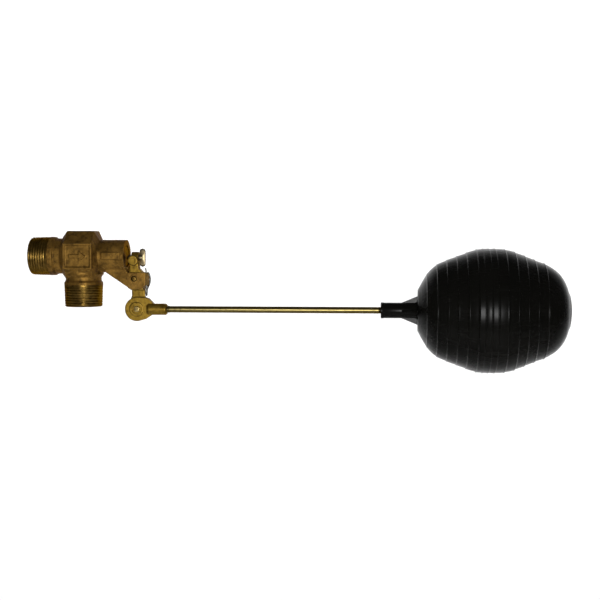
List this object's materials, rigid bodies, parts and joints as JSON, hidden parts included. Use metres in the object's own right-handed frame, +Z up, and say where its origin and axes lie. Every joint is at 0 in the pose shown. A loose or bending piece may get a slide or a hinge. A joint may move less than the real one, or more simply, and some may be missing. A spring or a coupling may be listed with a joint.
{
  "type": "float valve",
  "caption": "Bronze angle float valve with a threaded side inlet and bottom outlet, a pivoting brass lever, a long brass rod and a ringed black plastic float.",
  "frame": {"origin": "centre of the inlet's end plane", "axes": "+X along the inlet and the rod towards the float, +Y to the rear, +Z up, away from the outlet"},
  "size_m": [0.4598, 0.1044, 0.1195],
  "materials": {
    "cast_bronze": "rough sand-cast bronze, machined on the threads and bores",
    "machined_brass": "turned",
    "lever_brass": "tumbled",
    "rod_brass": "drawn",
    "spring_steel": "dull",
    "black_rubber": "matte",
    "float_plastic": "semi-gloss"
  },
  "bodies": {
    "valve": {"valve_body": "cast_bronze", "seat_ring": "machined_brass", "seat_gasket": "black_rubber", "pivot_pin": "machined_brass"},
    "plunger_body": {"plunger": "machined_brass", "seat_disc": "black_rubber", "disc_washer": "machined_brass", "disc_screw": "machined_brass", "cup_washer": "black_rubber", "cup_retainer": "machined_brass"},
    "lever_body": {"lever": "lever_brass", "spring_clip": "spring_steel", "arm_bolt": "machined_brass", "arm_lock_washer": "spring_steel", "arm_nut": "machined_brass"},
    "screw_body": {"thumb_screw": "machined_brass"},
    "float_arm": {"rod_arm": "lever_brass", "float_rod": "rod_brass", "float_insert": "machined_brass", "float_shell": "float_plastic"}
  },
  "joints": [
    {"name": "lever_hinge", "type": "hinge", "parent": "valve", "child": "lever_body", "pos_m": [0.0912, 0, -0.0193], "axis": [0, -1, 0], "range_deg": [0, 8]},
    {"name": "plunger_slide", "type": "slide", "parent": "valve", "child": "plunger_body", "axis": [-1, 0, 0], "range_m": [0, 0.0026]},
    {"name": "screw_turn", "type": "hinge", "parent": "lever_body", "child": "screw_body", "pos_m": [0.0912, 0, -0.0013], "axis": [1, 0, 0], "continuous": true},
    {"name": "arm_clamp", "type": "hinge", "parent": "lever_body", "child": "float_arm", "pos_m": [0.0929, 0, -0.0455], "axis": [0, -1, 0], "range_deg": [-30, 30]}
  ],
  "couplings": [
    {"joint": "plunger_slide", "follows": "lever_hinge", "m_per_rad": 0.018}
  ]
}
